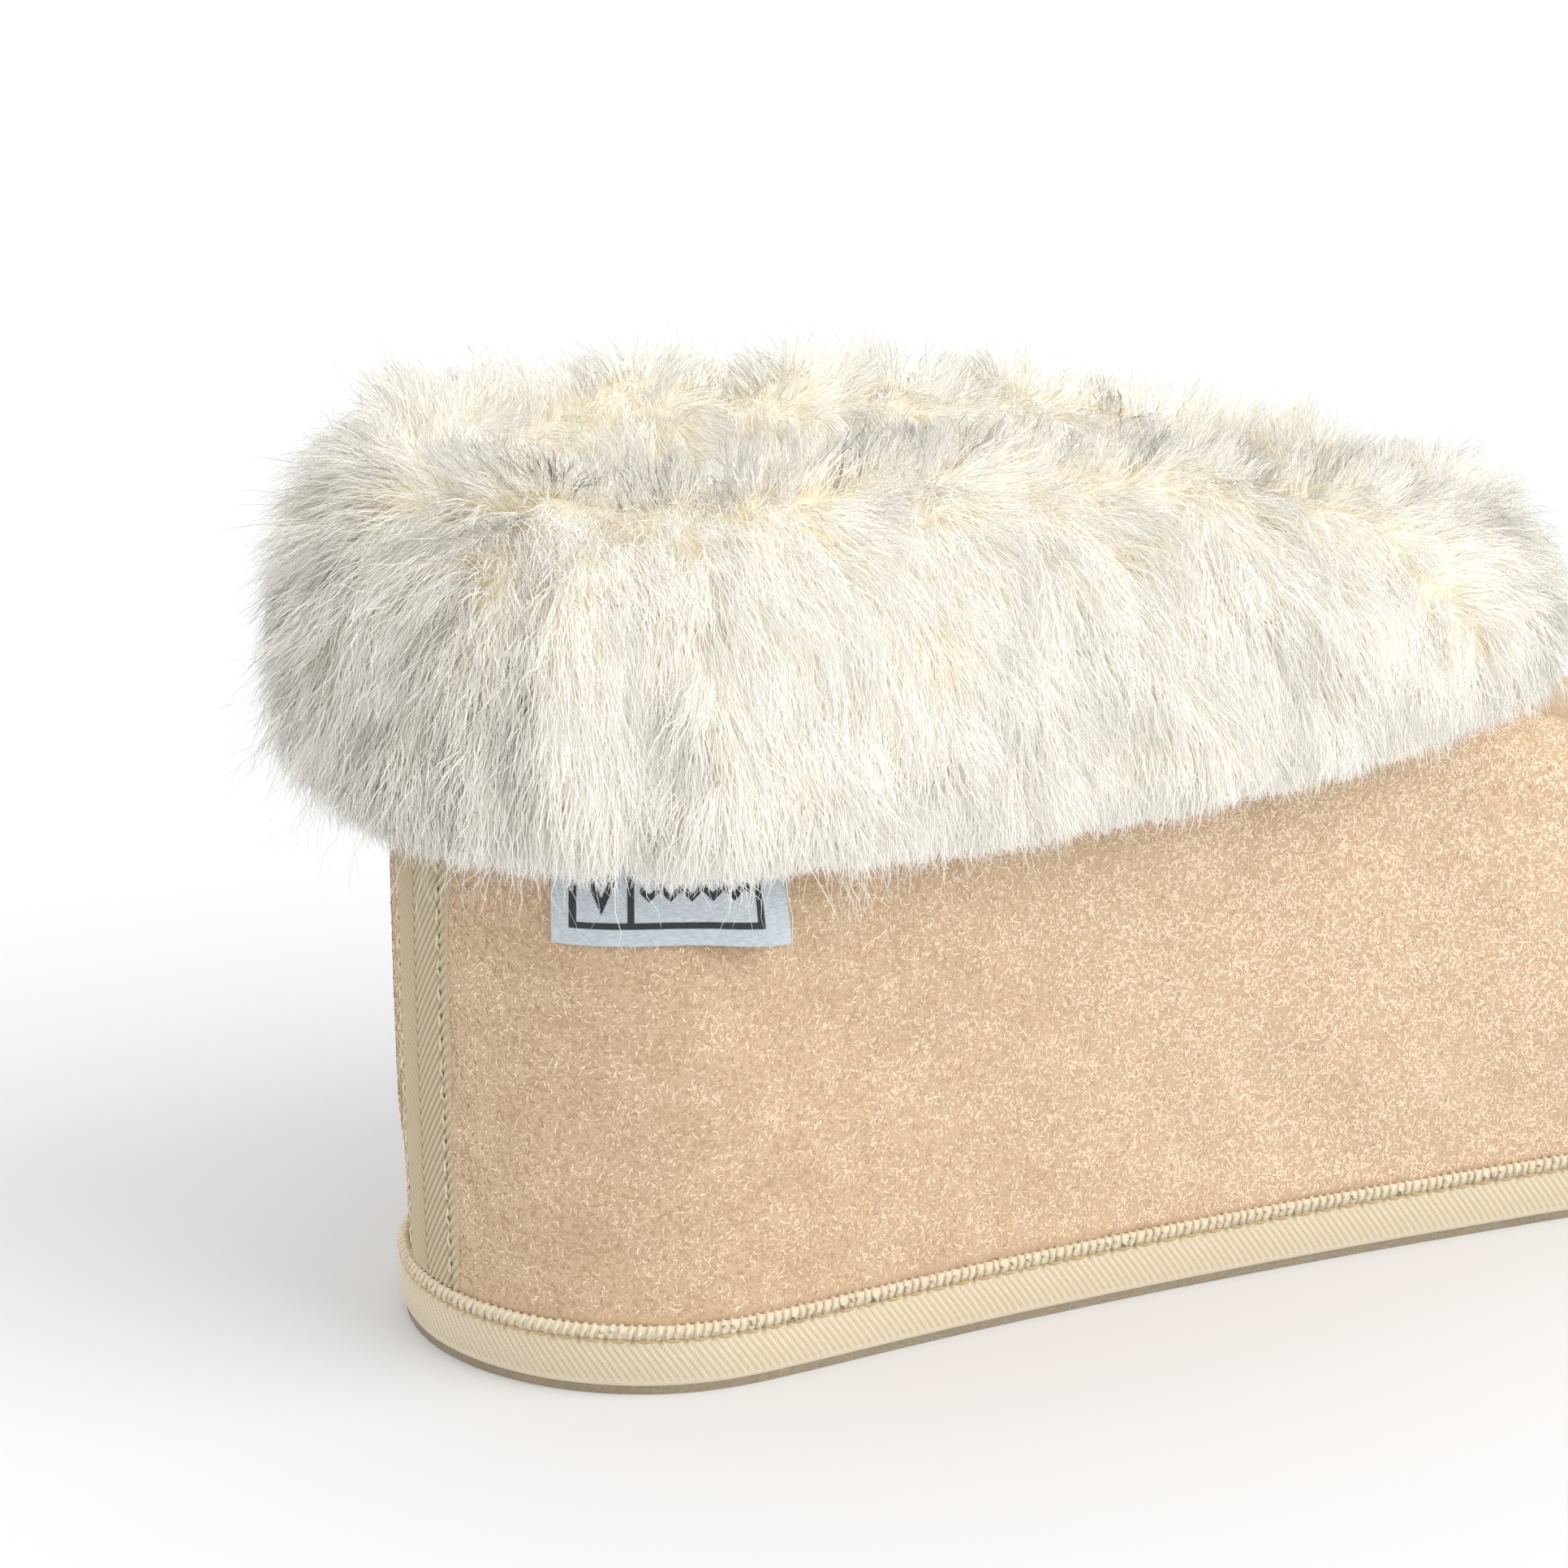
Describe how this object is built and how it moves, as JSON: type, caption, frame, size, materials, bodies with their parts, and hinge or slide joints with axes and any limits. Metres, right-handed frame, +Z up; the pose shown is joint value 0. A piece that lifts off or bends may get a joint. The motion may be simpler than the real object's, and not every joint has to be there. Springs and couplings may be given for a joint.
{
  "type": "moccasin slipper",
  "caption": "Right-foot sheepskin moccasin slipper: suede wall, sewn apron, turned-down wool collar, bound sole and a wool-lined loose footbed.",
  "frame": {"origin": "on the ground under the middle of the sole's length, on the outsole's flat underside", "axes": "+X to the toe, +Z up, -Y to the outer (lateral) side of the foot"},
  "size_m": [0.2736, 0.0934, 0.1196],
  "materials": {
    "suede": "napped suede",
    "wool": "sheepskin pile, cream",
    "hide": "cut hide edge",
    "twill": "woven cotton twill",
    "herringbone": "woven herringbone cotton",
    "thread": "sewing thread",
    "label": "woven satin",
    "outsole_rubber": "matt, ribbed",
    "midsole_foam": "closed-cell foam",
    "board": "fibre board"
  },
  "bodies": {
    "shoe": {"outsole": "outsole_rubber", "midsole": "midsole_foam", "sole_binding": "twill", "binding_thread": "thread", "sock_board": "board", "upper_wall": "suede", "wall_wool": "wool", "apron": "suede", "apron_wool": "wool", "apron_stitches": "thread", "collar_skin": "hide", "collar_wool": "wool", "topline_thread": "thread", "heel_seam_tape": "herringbone", "heel_tape_stitches": "thread", "label_margin": "label", "label_stitches": "thread"},
    "footbed": {"footbed_base": "board", "footbed_wool": "wool"},
    "label": {"label_flap": "label"}
  },
  "joints": [
    {"name": "footbed_lift", "type": "hinge", "parent": "shoe", "child": "footbed", "pos_m": [0.1146, 0, 0.0094], "axis": [0, 1, 0], "range_deg": [0, 10]},
    {"name": "label_lift", "type": "hinge", "parent": "shoe", "child": "label", "pos_m": [-0.1082, -0.02838, 0.0763], "axis": [-0.9241, 0.3822, 0], "range_deg": [0, 20]}
  ]
}
